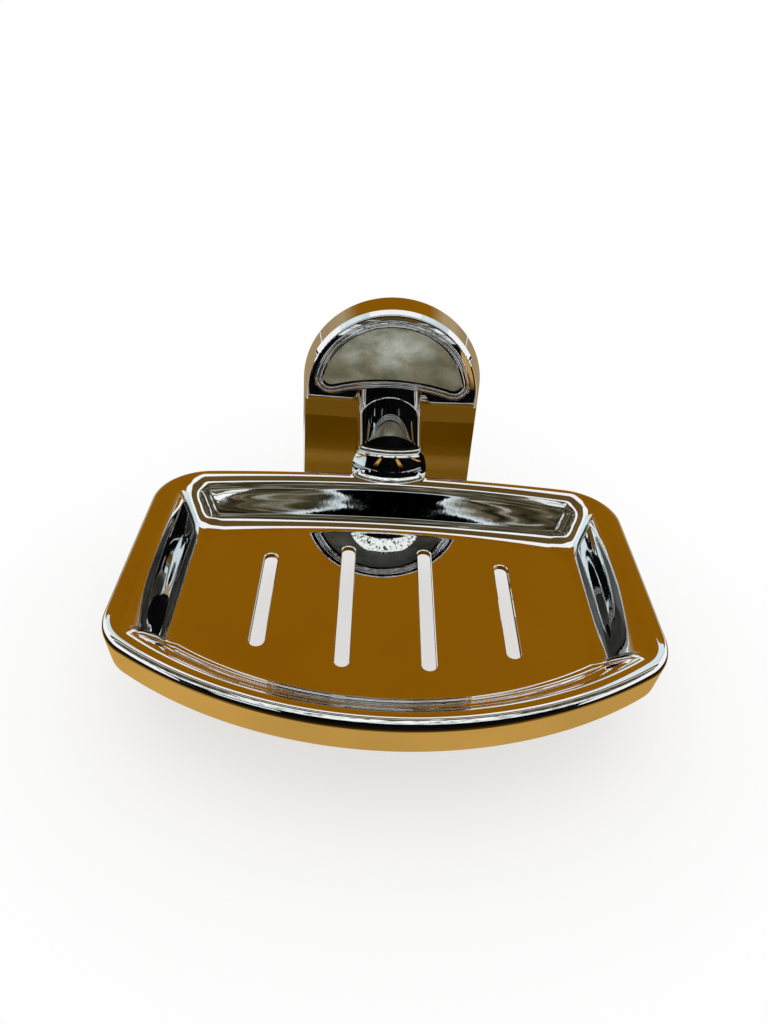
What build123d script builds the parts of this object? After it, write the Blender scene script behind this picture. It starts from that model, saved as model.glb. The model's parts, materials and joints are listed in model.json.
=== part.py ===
from build123d import *
from dataclasses import dataclass, replace
from math import atan2, degrees, sqrt
import os

# Wall soap dish: a cast tray on a short round arm, carried by an arched bracket that hangs on a
# hidden wall plate. Millimetres. X is to the right, Y points into the wall, Z is up.
# The wall's surface is y = 0, and the origin lies on it, on the arm's axis.
# A depth is a distance from the wall towards the room, so it counts against Y.

# Bracket
bracket_width = 58.8
bracket_arch_height = 13.2
bracket_foot_drop = 30.0
bracket_foot_radius = 8.0
bracket_depth = 7.5
bracket_draft_inset = 1.1
cover_wall = 2.5
cover_side_wall = 3.0

# Half moon on the bracket's front
moon_relief = 2.5
moon_draft_inset = 0.95
moon_edge_radius = 0.7
moon_lip_radius = 2.0
moon_lip_height = 9.3
moon_arch_half_width = 14.0
moon_arch_top_half_width = 10.5
moon_arch_top_height = 15.3
moon_arch_top_rise = 0.9
insert_radius = 23.0
insert_lower_height = 18.6
insert_lower_arc = 63.0
insert_corner_radius = 2.5
insert_thickness = 0.9
insert_crown = 0.8
pad_thickness = 0.4
pad_margin = 0.8
pocket_depth = 2.4
bezel_width = 2.4
bezel_gap = 0.5
bezel_fit = 0.05
bezel_sink = 0.35
bead_width = 0.9
bead_height = 0.45
bead_inset = 0.15

# Arm
arm_diameter = 22.0
arm_length = 25.1
arm_bore = 13.0
arm_edge = 0.35

# Knuckle between arm and tray
knuckle_diameter = 23.0
knuckle_side = 1.2
dome_bulge = 2.1
spigot_length = 8.0
spigot_clearance = 0.05
foot_thickness = 2.6
foot_half_width = 13.0
foot_root_half_width = 6.0
foot_root_sink = 1.6
foot_reach = 8.4
foot_corner_radius = 2.5
block_length = 3.9
nest_clearance = 0.15
collar_height = 2.4
collar_reach = 2.6
collar_root = 1.2
collar_sink = 0.35
collar_arc_share = 0.27

# Tray
tray_setback = 1.5
tray_length = 103.6
tray_rear_width = 138.6
tray_front_width = 141.0
tray_rear_arc = 505.0
tray_front_arc = 109.5
tray_rear_radius = 17.0
tray_front_radius = 14.5
rim_drop = 2.0
rim_crown_width = 3.9
rim_crown_drop = 2.3
rim_thickness = 1.8
rim_rear_width = 1.3
rim_side_width = 5.4
rim_front_width = 3.6
rim_inner_rear_arc = 480.0
rim_inner_front_arc = 105.6
rim_inner_side_bow = 0.4
rim_inner_rear_radius = 8.0
rim_inner_front_radius = 4.5
skirt_height = 10.5
skirt_thickness = 1.8
skirt_inset = 1.3
basin_depth = 9.0
basin_wall = 1.6
floor_thickness = 1.5
bevel_rear_run = 18.4
bevel_side_rear_run = 11.3
bevel_side_front_run = 12.9
bevel_front_run = 13.4
floor_rear_arc = 202.0
floor_front_arc = 93.5
floor_side_bow = 1.2
floor_rear_radius = 8.0
floor_front_radius = 3.0
slot_width = 3.8
slot_spacing = 22.0
inner_slot_length = 50.1
inner_slot_start = 26.9
outer_slot_length = 38.9
outer_slot_start = 32.2

# Tie bolt through the arm
bolt_diameter = 6.0
bolt_hole_clearance = 0.2
bolt_head_diameter = 10.0
bolt_head_height = 2.6
bolt_socket = 4.0
bolt_socket_depth = 1.6
bolt_tip_chamfer = 0.6
bolt_engagement = 10.2
bolt_hole_extra = 0.6
thread_clearance = 0.05
flat_washer_diameter = 12.0
flat_washer_thickness = 1.0
split_washer_diameter = 9.6
split_washer_thickness = 1.0
split_washer_gap = 0.8

# Locating dowels in the arm's two ends
dowel_diameter = 2.5
dowel_length = 4.8
dowel_offset = 8.7
dowel_clearance = 0.05
dowel_end_play = 0.1
cover_dowel_depth = 1.8

# Screws that hold the tray on the knuckle's foot
tray_screw_diameter = 3.0
tray_screw_spacing = 17.0
tray_screw_setback = 6.9
tray_screw_head_diameter = 5.5
tray_screw_head_height = 1.7
tray_screw_head_edge = 0.5
tray_screw_length = 6.5
tray_screw_recess = 2.0
tray_screw_recess_depth = 1.0
tray_screw_hole_extra = 0.3
tray_screw_foot_clearance = 0.2
tray_boss_diameter = 5.2
tray_washer_diameter = 6.4
tray_washer_thickness = 0.6

# Wall plate, its screws and plugs
plate_thickness = 2.0
plate_width = 36.0
plate_top = 27.0
plate_bottom = 22.0
plate_corner_radius = 3.0
plate_opening_clearance = 1.0
tongue_width = 16.0
tongue_thickness = 1.5
tongue_gap = 0.9
tongue_height = 4.0
tongue_root = 1.6
lip_width = 18.0
lip_thickness = 2.0
lip_reach = 4.6
wall_screw_spacing = 30.0
wall_screw_diameter = 4.0
wall_screw_length = 25.0
wall_screw_tip = 3.0
wall_screw_head_diameter = 8.0
wall_screw_head_height = 2.2
wall_screw_head_edge = 0.7
wall_screw_recess = 2.8
wall_screw_recess_depth = 1.2
wall_hole_clearance = 0.2
plug_diameter = 6.0
plug_length = 28.0
plug_nose = 3.0
plug_slit = 1.0
plug_slit_length = 16.0
plug_bore_clearance = 0.05

# Hook bar in the cover, and the grub screw under it
hook_clearance = 0.05
hook_wall_gap = 0.4
hook_height = 3.5
hook_post_width = 4.0
hook_side_gap = 1.0
cover_lift = 4.0
grub_diameter = 4.0
grub_length = 6.0
grub_tip_gap = 0.3
grub_depth = 2.8
grub_socket = 2.0
grub_socket_depth = 2.2
grub_point_height = 1.0
grub_boss_half_width = 5.0
grub_boss_height = 3.6
grub_boss_wall_gap = 0.2
overrun = 1.0
match_tolerance = 0.01

# Shares of the bevel's run and of the basin's depth, from the floor's edge up to the rim
bevel_run_shares = (0.0, 0.076, 0.177, 0.267, 0.342, 0.518, 0.695, 0.804, 0.882, 0.955, 1.0)
bevel_height_shares = (0.0, 0.018, 0.079, 0.157, 0.240, 0.490, 0.739, 0.861, 0.928, 0.978, 1.0)

# Shares of the rim crown's width and drop, from its foot on the skirt up to its top
crown_inset_shares = (0.0, 0.015, 0.085, 0.2, 0.41, 0.67, 1.0)
crown_height_shares = (0.0, 0.2, 0.46, 0.67, 0.835, 0.95, 1.0)

# Places that follow from the sizes
cover_front = bracket_depth
moon_front = bracket_depth + moon_relief
arm_front = cover_front + arm_length
dome_start = arm_front + knuckle_side
tray_rear = arm_front + tray_setback
rim_top = -rim_drop
rim_underside = rim_top - rim_thickness
floor_top = rim_top - basin_depth
floor_underside = floor_top - floor_thickness
skirt_foot = rim_top - skirt_height
foot_underside = skirt_foot
foot_top = foot_underside + foot_thickness
foot_root_top = foot_root_sink - knuckle_diameter / 2
bezel_margin = bezel_gap + bezel_width
pocket_floor = moon_front - pocket_depth
cover_inner_depth = bracket_depth - cover_wall
tongue_back = plate_thickness + tongue_gap
tongue_front = tongue_back + tongue_thickness
tongue_top = plate_top + tongue_height
grub_tip = -plate_bottom - grub_tip_gap


@dataclass(frozen=True)
class TrayOutline:
    """A four-sided tray outline with arched front and rear edges; rear and front are depths."""

    rear: float
    front: float
    rear_half: float
    front_half: float
    rear_arc: float
    front_arc: float
    side_bow: float
    rear_radius: float
    front_radius: float


rim_outer = TrayOutline(
    rear=tray_rear,
    front=tray_rear + tray_length,
    rear_half=tray_rear_width / 2,
    front_half=tray_front_width / 2,
    rear_arc=tray_rear_arc,
    front_arc=tray_front_arc,
    side_bow=0,
    rear_radius=tray_rear_radius,
    front_radius=tray_front_radius,
)
rim_inner = TrayOutline(
    rear=rim_outer.rear + rim_rear_width,
    front=rim_outer.front - rim_front_width,
    rear_half=rim_outer.rear_half - rim_side_width,
    front_half=rim_outer.front_half - rim_side_width,
    rear_arc=rim_inner_rear_arc,
    front_arc=rim_inner_front_arc,
    side_bow=rim_inner_side_bow,
    rear_radius=rim_inner_rear_radius,
    front_radius=rim_inner_front_radius,
)
floor_outline = TrayOutline(
    rear=rim_inner.rear + bevel_rear_run,
    front=rim_inner.front - bevel_front_run,
    rear_half=rim_inner.rear_half - bevel_side_rear_run,
    front_half=rim_inner.front_half - bevel_side_front_run,
    rear_arc=floor_rear_arc,
    front_arc=floor_front_arc,
    side_bow=floor_side_bow,
    rear_radius=floor_rear_radius,
    front_radius=floor_front_radius,
)


def rise(radius, half_chord):
    """Height of an arc over its chord."""
    return radius - sqrt(radius**2 - half_chord**2)


def grown(outline, amount):
    """The same outline, moved outwards by amount all round."""
    return replace(
        outline,
        rear=outline.rear - amount,
        front=outline.front + amount,
        rear_half=outline.rear_half + amount,
        front_half=outline.front_half + amount,
        rear_arc=outline.rear_arc + amount,
        front_arc=outline.front_arc + amount,
        rear_radius=outline.rear_radius + amount,
        front_radius=outline.front_radius + amount,
    )


def between(low, high, share):
    """An outline part of the way from low to high."""
    values = {name: getattr(low, name) * (1 - share) + getattr(high, name) * share for name in vars(low)}
    return TrayOutline(**values)


def tray_face(outline, height):
    """A horizontal face with the outline's shape."""
    rear_corner_y = -outline.rear - rise(outline.rear_arc, outline.rear_half)
    front_corner_y = -outline.front + rise(outline.front_arc, outline.front_half)
    rear_left = (-outline.rear_half, rear_corner_y)
    rear_right = (outline.rear_half, rear_corner_y)
    front_right = (outline.front_half, front_corner_y)
    front_left = (-outline.front_half, front_corner_y)
    if outline.side_bow == 0:
        right = Line(rear_right, front_right)
        left = Line(front_left, rear_left)
    else:
        middle_x = (outline.rear_half + outline.front_half) / 2 + outline.side_bow
        middle_y = (rear_corner_y + front_corner_y) / 2
        right = ThreePointArc(rear_right, (middle_x, middle_y), front_right)
        left = ThreePointArc(front_left, (-middle_x, middle_y), rear_left)
    rear = ThreePointArc(rear_left, (0, -outline.rear), rear_right)
    front = ThreePointArc(front_right, (0, -outline.front), front_left)
    face = make_face([rear, right, front, left])
    face = fillet(face.vertices().sort_by(Axis.Y)[2:], outline.rear_radius)
    face = fillet(face.vertices().sort_by(Axis.Y)[:2], outline.front_radius)
    return Pos(0, 0, height) * face


def facing(depth):
    """A plane parallel to the wall at this depth; its normal points to the room."""
    return Plane.XZ.offset(depth)


def rod(diameter, start, length, x=0, z=0):
    """A round bar that runs from depth start towards the room."""
    return extrude(facing(start) * Pos(x, z) * Circle(diameter / 2), length)


def hex_prism(across_flats, plane, depth):
    """A hexagonal recess cutter."""
    return extrude(plane * RegularPolygon(across_flats / 2, 6, major_radius=False), depth)


def half_chord(radius, offset):
    """Half the chord that a line at this distance from the centre cuts."""
    return sqrt(radius**2 - offset**2)


def arch_face(inset, depth):
    """The bracket's outline, drawn in from its size at the wall."""
    half = bracket_width / 2 - inset
    foot = -bracket_foot_drop + inset
    top = bracket_arch_height + half
    arch = ThreePointArc((-half, bracket_arch_height), (0, top), (half, bracket_arch_height))
    right = Line((half, bracket_arch_height), (half, foot))
    bottom = Line((half, foot), (-half, foot))
    left = Line((-half, foot), (-half, bracket_arch_height))
    face = make_face([arch, right, bottom, left])
    face = fillet(face.vertices().sort_by(Axis.Y)[:2], bracket_foot_radius - inset)
    return facing(depth) * face


def moon_face(margin, depth):
    """The inlay's half moon with a concave lower edge, grown by margin all round."""
    radius = insert_radius + margin
    lower_height = insert_lower_height - margin
    lower_arc = insert_lower_arc - margin
    lower_centre = lower_height - lower_arc
    squares = radius**2 - lower_arc**2 - bracket_arch_height**2 + lower_centre**2
    corner_z = squares / (2 * (lower_centre - bracket_arch_height))
    corner_x = half_chord(radius, corner_z - bracket_arch_height)
    upper = ThreePointArc((-corner_x, corner_z), (0, bracket_arch_height + radius), (corner_x, corner_z))
    lower = ThreePointArc((corner_x, corner_z), (0, lower_height), (-corner_x, corner_z))
    face = make_face([upper, lower])
    face = fillet(face.vertices(), insert_corner_radius + margin)
    return facing(depth) * face


def below_moon():
    """Cuts the bracket's front back to its flat, below the half moon and round the arm."""
    reach = bracket_width
    shoulder_height = moon_arch_top_height - moon_arch_top_rise
    left = [(-reach, moon_lip_height), (-moon_arch_half_width, moon_lip_height)]
    left.append((-moon_arch_top_half_width, shoulder_height))
    right = [(-x, z) for x, z in reversed(left)]
    top = ThreePointArc(left[-1], (0, moon_arch_top_height), right[0])
    edges = [Line(left[0], left[1]), Line(left[1], left[2]), top]
    edges += [Line(right[0], right[1]), Line(right[1], right[2])]
    edges.append(Line(right[2], (reach, -reach)))
    edges.append(Line((reach, -reach), (-reach, -reach)))
    edges.append(Line((-reach, -reach), left[0]))
    return extrude(facing(bracket_depth) * make_face(edges), moon_relief + overrun)


def edges_at_depth(solid, depth):
    """The edges that lie wholly in a plane parallel to the wall."""
    return solid.edges().filter_by_position(Axis.Y, -depth - match_tolerance, -depth + match_tolerance)


def bracket_cover():
    """The chrome casting that hides the wall plate and carries the arm."""
    moon_inset = bracket_draft_inset + moon_draft_inset
    sections = [arch_face(0, 0), arch_face(bracket_draft_inset, bracket_depth)]
    sections.append(arch_face(moon_inset, moon_front))
    body = loft(sections, ruled=True)
    body -= below_moon()
    front_edges = edges_at_depth(body, moon_front)
    lips = [edge for edge in front_edges if edge.center().Z < moon_lip_height + match_tolerance]
    body = fillet(lips, moon_lip_radius)
    front_edges = edges_at_depth(body, moon_front)
    outer_arc = [edge for edge in front_edges if edge.center().Z > bracket_arch_height + insert_radius]
    body = fillet(outer_arc, moon_edge_radius)
    body -= extrude(arch_face(cover_side_wall, 0), cover_inner_depth)
    body -= extrude(moon_face(bezel_margin + bezel_fit, pocket_floor), pocket_depth + overrun)
    body += hook_bar()
    body += grub_boss()
    body -= rod(bolt_diameter + 2 * bolt_hole_clearance, 0, bracket_depth + overrun)
    body -= dowel_hole(cover_front - cover_dowel_depth, cover_dowel_depth + overrun)
    grub_start = -bracket_foot_drop - overrun
    grub_hole = Pos(0, -grub_depth, grub_start) * Cylinder(
        grub_diameter / 2 + thread_clearance,
        grub_boss_height + 2 * overrun,
        align=(Align.CENTER, Align.CENTER, Align.MIN),
    )
    return body - grub_hole


def hook_bar():
    """A bar across the cover's inside that drops behind the wall plate's tongue."""
    bar_half = tongue_width / 2 + hook_side_gap + hook_post_width
    bar_bottom = plate_top + hook_clearance
    bar_depth = tongue_back - hook_clearance - hook_wall_gap
    bar_top = bar_bottom + hook_height
    bar = box_from((-bar_half, hook_wall_gap, bar_bottom), (bar_half, hook_wall_gap + bar_depth, bar_top))
    for side in (-1, 1):
        inner = side * (bar_half - hook_post_width)
        outer = side * bar_half
        low = (min(inner, outer), hook_wall_gap, bar_bottom)
        high = (max(inner, outer), cover_inner_depth + bezel_fit, bar_top)
        bar += box_from(low, high)
    return bar


def grub_boss():
    """A thick foot in the cover for the grub screw's thread."""
    foot = -bracket_foot_drop + bracket_draft_inset
    boss_top = -bracket_foot_drop + grub_boss_height
    low = (-grub_boss_half_width, grub_boss_wall_gap, foot)
    return box_from(low, (grub_boss_half_width, cover_inner_depth + bezel_fit, boss_top))


def box_from(low, high):
    """A box between two corners given as x, depth, z."""
    size = [b - a for a, b in zip(low, high)]
    centre = [(a + b) / 2 for a, b in zip(low, high)]
    return Pos(centre[0], -centre[1], centre[2]) * Box(*size)


def half_moon_bezel():
    """The beaded ring round the inlay."""
    back = pocket_floor
    front = moon_front - bezel_sink
    ring = extrude(moon_face(bezel_margin, back) - moon_face(bezel_gap, back), front - back)
    for margin in (bezel_margin - bead_inset - bead_width, bezel_gap + bead_inset):
        bead = moon_face(margin + bead_width, front - bezel_fit) - moon_face(margin, front - bezel_fit)
        bead = extrude(bead, bead_height + bezel_fit)
        bead = fillet(edges_at_depth(bead, front + bead_height), bead_height - bezel_fit)
        ring += bead
    return ring


def pearl_insert():
    """The inlay, slightly crowned."""
    back = pocket_floor + pad_thickness
    edge = back + insert_thickness
    slab = extrude(moon_face(0, back), insert_thickness + insert_crown)
    crown_radius = (insert_radius**2 + insert_crown**2) / (2 * insert_crown)
    centre_depth = edge + insert_crown - crown_radius
    return slab & Pos(0, -centre_depth, bracket_arch_height + insert_radius / 3) * Sphere(crown_radius)


def insert_adhesive_pad():
    """The thin pad behind the inlay."""
    return extrude(moon_face(-pad_margin, pocket_floor), pad_thickness)


def dowel_hole(start, length):
    return rod(dowel_diameter + 2 * dowel_clearance, start, length, z=-dowel_offset)


def dowel_starts():
    """Depths at which the two dowels begin."""
    rear = cover_front - cover_dowel_depth + dowel_end_play
    front = arm_front - (dowel_length - cover_dowel_depth) + dowel_end_play
    return rear, front


def locating_dowels():
    dowels = [rod(dowel_diameter, start, dowel_length, z=-dowel_offset) for start in dowel_starts()]
    return Compound(children=[dowel.solid() for dowel in dowels])


def arm():
    """The round post, bored for the bolt and the knuckle's spigot."""
    post = rod(arm_diameter, cover_front, arm_length)
    ends = edges_at_depth(post, cover_front) + edges_at_depth(post, arm_front)
    post = chamfer(ends, arm_edge)
    post -= rod(arm_bore, cover_front - overrun, arm_length + 2 * overrun)
    rear, front = dowel_starts()
    post -= dowel_hole(cover_front - overrun, rear + dowel_length + dowel_end_play - cover_front + overrun)
    post -= dowel_hole(front - dowel_end_play, arm_front - front + dowel_end_play + overrun)
    return post


def dome_sphere_radius(margin=0):
    return ((knuckle_diameter / 2 + margin) ** 2 + dome_bulge**2) / (2 * dome_bulge)


def centre_to_dome_edge():
    """How far the dome's edge lies in front of the dome's centre."""
    return dome_sphere_radius() - dome_bulge


def domed_bar(margin, side_start):
    """The knuckle's round side and dome, turned about the arm's axis."""
    radius = knuckle_diameter / 2 + margin
    tip = dome_start + dome_bulge + margin
    sphere_radius = dome_sphere_radius(margin)
    side = rod(2 * radius, side_start, tip - side_start)
    return side & Pos(0, -(tip - sphere_radius), 0) * Sphere(sphere_radius)


def knuckle_body(margin):
    """What the tray's rear rim nests round: the dome above, a half round and a foot below."""
    body = domed_bar(margin, arm_front - margin * overrun)
    block = rod(knuckle_diameter + 2 * margin, arm_front, block_length + knuckle_side + margin)
    below_rim = rim_underside - nest_clearance + margin
    high = (knuckle_diameter, dome_start + tray_length, below_rim)
    block &= box_from((-knuckle_diameter, 0, -knuckle_diameter), high)
    return body + block


def tray_knuckle():
    body = knuckle_body(0)
    root_reach = arm_front + block_length + knuckle_side
    low = (-foot_root_half_width, arm_front, foot_underside)
    body += box_from(low, (foot_root_half_width, root_reach, foot_root_top))
    foot = extrude(Pos(0, -(root_reach + foot_reach / 2), foot_underside) * RectangleRounded(
        2 * foot_half_width, foot_reach, foot_corner_radius), foot_thickness)
    neck = box_from((-foot_root_half_width, root_reach - overrun, foot_underside),
                    (foot_root_half_width, root_reach + overrun, foot_top))
    body += foot + neck
    body += rod(arm_bore - 2 * spigot_clearance, arm_front - spigot_length, spigot_length + knuckle_side)
    body -= rod(bolt_diameter + 2 * thread_clearance, arm_front - spigot_length - overrun,
                overrun + bolt_engagement + bolt_hole_extra)
    rear, front = dowel_starts()
    body -= dowel_hole(arm_front - overrun, front + dowel_length + dowel_end_play - arm_front + overrun)
    for x in tray_screw_places():
        body -= upright(tray_screw_diameter + 2 * tray_screw_foot_clearance, x, foot_underside - overrun,
                        foot_thickness + 2 * overrun)
    return body


def tray_screw_places():
    return (-tray_screw_spacing / 2, tray_screw_spacing / 2)


def upright(diameter, x, bottom, height):
    """An upright round bar at the tray screws' depth."""
    centre = Pos(x, -(tray_rear + tray_screw_setback), bottom)
    return centre * Cylinder(diameter / 2, height, align=(Align.CENTER, Align.CENTER, Align.MIN))


def slot(x, start, length):
    """A drain slot with round ends, cut right through the floor."""
    centre = Pos(x, -(tray_rear + start + length / 2), floor_underside - overrun)
    shape = Rot(0, 0, 90) * SlotOverall(length, slot_width)
    return extrude(centre * shape, floor_thickness + 2 * overrun)


def slots():
    cutters = []
    for side in (-1, 1):
        cutters.append(slot(side * slot_spacing / 2, inner_slot_start, inner_slot_length))
        cutters.append(slot(side * slot_spacing * 3 / 2, outer_slot_start, outer_slot_length))
    return cutters


def basin_hollow():
    """The space for the soap: a flat floor and four sloping walls with rounded feet and tops."""
    sections = []
    for run_share, height_share in zip(bevel_run_shares, bevel_height_shares):
        outline = between(floor_outline, rim_inner, run_share)
        sections.append(tray_face(outline, floor_top + basin_depth * height_share))
    return loft(sections)


def collar():
    """A concave collar on the rim, along the foot of the knuckle's dome."""
    sphere_radius = dome_sphere_radius()
    centre_depth = dome_start + dome_bulge - sphere_radius
    top = rim_top + collar_height
    toe = sphere_radius + collar_reach
    arc_middle = (sphere_radius + collar_reach * collar_arc_share, rim_top + collar_height * collar_arc_share)
    inner = sphere_radius - skirt_thickness
    edges = [
        Line((inner, top), (sphere_radius, top)),
        ThreePointArc((sphere_radius, top), arc_middle, (toe, rim_top - collar_sink)),
        Line((toe, rim_top - collar_sink), (toe - collar_root, rim_top - collar_root)),
        Line((toe - collar_root, rim_top - collar_root), (inner, rim_top - collar_root)),
        Line((inner, rim_top - collar_root), (inner, top)),
    ]
    half_angle = degrees(atan2(knuckle_diameter / 2, centre_to_dome_edge()))
    profile = Plane.XZ * make_face(edges)
    ring = revolve(profile, Axis.Z, 2 * half_angle)
    ring = Pos(0, -centre_depth, 0) * Rot(0, 0, -90 - half_angle) * ring
    low = (-knuckle_diameter, tray_rear, rim_top - collar_root)
    return ring & box_from(low, (knuckle_diameter, tray_rear + tray_length, rim_top + collar_height))


def soap_tray():
    """Rim and skirt round a basin, open underneath between the two."""
    crown_foot = rim_top - rim_crown_drop
    foot = tray_face(grown(rim_outer, -skirt_inset), skirt_foot)
    body = loft([foot, tray_face(rim_outer, crown_foot)], ruled=True)
    crown = []
    for inset_share, height_share in zip(crown_inset_shares, crown_height_shares):
        inset = grown(rim_outer, -rim_crown_width * inset_share)
        crown.append(tray_face(inset, crown_foot + rim_crown_drop * height_share))
    body += loft(crown)
    inside = grown(rim_outer, -skirt_thickness)
    channel_foot = tray_face(grown(inside, -skirt_inset), skirt_foot - overrun)
    body -= loft([channel_foot, tray_face(inside, rim_underside)], ruled=True)
    wall_foot = tray_face(grown(floor_outline, basin_wall), floor_underside)
    wall_top = tray_face(rim_inner, rim_top - rim_thickness / 2)
    body += loft([wall_foot, wall_top], ruled=True)
    for x in tray_screw_places():
        body += upright(tray_boss_diameter, x, foot_top, rim_underside - foot_top + rim_thickness / 2)
    body -= basin_hollow()
    for cutter in slots():
        body -= cutter
    body += collar()
    body -= knuckle_body(nest_clearance)
    root_half = foot_root_half_width + nest_clearance
    slot_end = tray_rear + skirt_thickness + skirt_inset + overrun
    low = (-root_half, arm_front, skirt_foot - overrun)
    body -= box_from(low, (root_half, slot_end, max(foot_top, foot_root_top) + nest_clearance))
    for x in tray_screw_places():
        body -= upright(tray_screw_diameter + 2 * thread_clearance, x, foot_top - overrun,
                        tray_screw_tip() - foot_top + overrun + tray_screw_hole_extra)
    return body


def tray_screw_tip():
    return foot_underside - tray_washer_thickness + tray_screw_length


def tray_screws():
    """Two pan-head screws that come up through the knuckle's foot."""
    screws = []
    seat = foot_underside - tray_washer_thickness
    for x in tray_screw_places():
        head = upright(tray_screw_head_diameter, x, seat - tray_screw_head_height, tray_screw_head_height)
        head = fillet(head.edges().sort_by(Axis.Z)[0], tray_screw_head_edge)
        screw = head + upright(tray_screw_diameter, x, seat, tray_screw_length)
        head_foot = (x, -(tray_rear + tray_screw_setback), seat - tray_screw_head_height)
        socket_plane = Plane(origin=head_foot, z_dir=(0, 0, 1))
        screw -= hex_prism(tray_screw_recess, socket_plane, tray_screw_recess_depth)
        screws.append(screw.solid())
    return Compound(children=screws)


def tray_screw_washers():
    washers = []
    bottom = foot_underside - tray_washer_thickness
    for x in tray_screw_places():
        ring = upright(tray_washer_diameter, x, bottom, tray_washer_thickness)
        ring -= upright(tray_screw_diameter + 2 * tray_screw_foot_clearance, x, bottom - overrun,
                        tray_washer_thickness + 2 * overrun)
        washers.append(ring.solid())
    return Compound(children=washers)


def washer_stack():
    """Depths of the flat washer, the split washer and the bolt head's underside."""
    flat = cover_inner_depth - flat_washer_thickness
    split = flat - split_washer_thickness
    return flat, split


def tie_bolt():
    """A low-head socket bolt from inside the cover, through the arm, into the knuckle's spigot."""
    flat, split = washer_stack()
    head = rod(bolt_head_diameter, split - bolt_head_height, bolt_head_height)
    tip = arm_front - spigot_length + bolt_engagement
    shank = rod(bolt_diameter, split, tip - split)
    shank = chamfer(edges_at_depth(shank, tip), bolt_tip_chamfer)
    return head + shank - hex_prism(bolt_socket, facing(split - bolt_head_height), bolt_socket_depth)


def tie_bolt_washer():
    flat, split = washer_stack()
    hole_diameter = bolt_diameter + 2 * bolt_hole_clearance
    hole = rod(hole_diameter, flat - overrun, flat_washer_thickness + 2 * overrun)
    return rod(flat_washer_diameter, flat, flat_washer_thickness) - hole


def tie_bolt_spring_washer():
    """A split ring."""
    flat, split = washer_stack()
    ring = rod(split_washer_diameter, split, split_washer_thickness)
    hole_diameter = bolt_diameter + 2 * bolt_hole_clearance
    ring -= rod(hole_diameter, split - overrun, split_washer_thickness + 2 * overrun)
    low = (-split_washer_gap / 2, split - overrun, 0)
    return ring - box_from(low, (split_washer_gap / 2, flat + overrun, split_washer_diameter))


def wall_screw_heights():
    return (-wall_screw_spacing / 2, wall_screw_spacing / 2)


def wall_plate():
    """The hidden plate on the wall, with a tongue at its top and a lip at its foot."""
    height = plate_top + plate_bottom
    shape = Pos(0, (plate_top - plate_bottom) / 2) * RectangleRounded(plate_width, height, plate_corner_radius)
    plate = extrude(facing(0) * shape, plate_thickness)
    opening_half = bolt_head_diameter / 2 + plate_opening_clearance
    opening = Rot(0, 0, 90) * SlotOverall(2 * opening_half + cover_lift, 2 * opening_half)
    plate -= extrude(facing(-overrun) * Pos(0, cover_lift / 2) * opening, plate_thickness + 2 * overrun)
    for z in wall_screw_heights():
        plate -= rod(wall_screw_diameter + 2 * wall_hole_clearance, -overrun, plate_thickness + 2 * overrun, z=z)
    half = tongue_width / 2
    plate += box_from((-half, 0, plate_top - tongue_root), (half, tongue_front, plate_top))
    low = (-half, tongue_back, plate_top - tongue_root)
    plate += box_from(low, (half, tongue_front, tongue_top))
    half = lip_width / 2
    plate += box_from((-half, 0, -plate_bottom), (half, lip_reach, -plate_bottom + lip_thickness))
    return plate


def wall_screws():
    """Two pan-head screws that hold the plate on the wall."""
    screws = []
    for z in wall_screw_heights():
        head = rod(wall_screw_head_diameter, plate_thickness, wall_screw_head_height, z=z)
        head = fillet(edges_at_depth(head, plate_thickness + wall_screw_head_height), wall_screw_head_edge)
        straight = wall_screw_length - wall_screw_tip
        shank = rod(wall_screw_diameter, plate_thickness - straight, straight, z=z)
        tip_plane = facing(plate_thickness - straight) * Pos(0, z)
        tip = tip_plane * Rot(180, 0, 0) * Cone(
            wall_screw_diameter / 2, 0, wall_screw_tip, align=(Align.CENTER, Align.CENTER, Align.MIN)
        )
        recess_plane = Plane(origin=(0, -plate_thickness - wall_screw_head_height, z), z_dir=(0, 1, 0))
        screw = head + shank + tip - hex_prism(wall_screw_recess, recess_plane, wall_screw_recess_depth)
        screws.append(screw.solid())
    return Compound(children=screws)


def wall_plugs():
    """Two split plugs, drilled into the wall behind the plate."""
    plugs = []
    for z in wall_screw_heights():
        plug = rod(plug_diameter, -plug_length, plug_length, z=z)
        bore = wall_screw_diameter + 2 * plug_bore_clearance
        plug -= rod(bore, -plug_length + plug_nose, plug_length, z=z)
        slit = box_from((-plug_slit / 2, -plug_length + plug_nose, z - plug_diameter),
                        (plug_slit / 2, -plug_length + plug_nose + plug_slit_length, z + plug_diameter))
        plug -= slit
        plugs.append(plug.solid())
    return Compound(children=plugs)


def grub_screw():
    """A short headless screw that stands in the cover's foot, under the wall plate's lip."""
    bottom = grub_tip - grub_length
    straight = grub_length - grub_point_height
    place = Pos(0, -grub_depth, bottom)
    screw = place * Cylinder(grub_diameter / 2, straight, align=(Align.CENTER, Align.CENTER, Align.MIN))
    point = Pos(0, -grub_depth, bottom + straight) * Cone(
        grub_diameter / 2, grub_diameter / 4, grub_point_height, align=(Align.CENTER, Align.CENTER, Align.MIN)
    )
    socket_plane = Plane(origin=(0, -grub_depth, bottom), z_dir=(0, 0, 1))
    return screw + point - hex_prism(grub_socket, socket_plane, grub_socket_depth)


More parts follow.
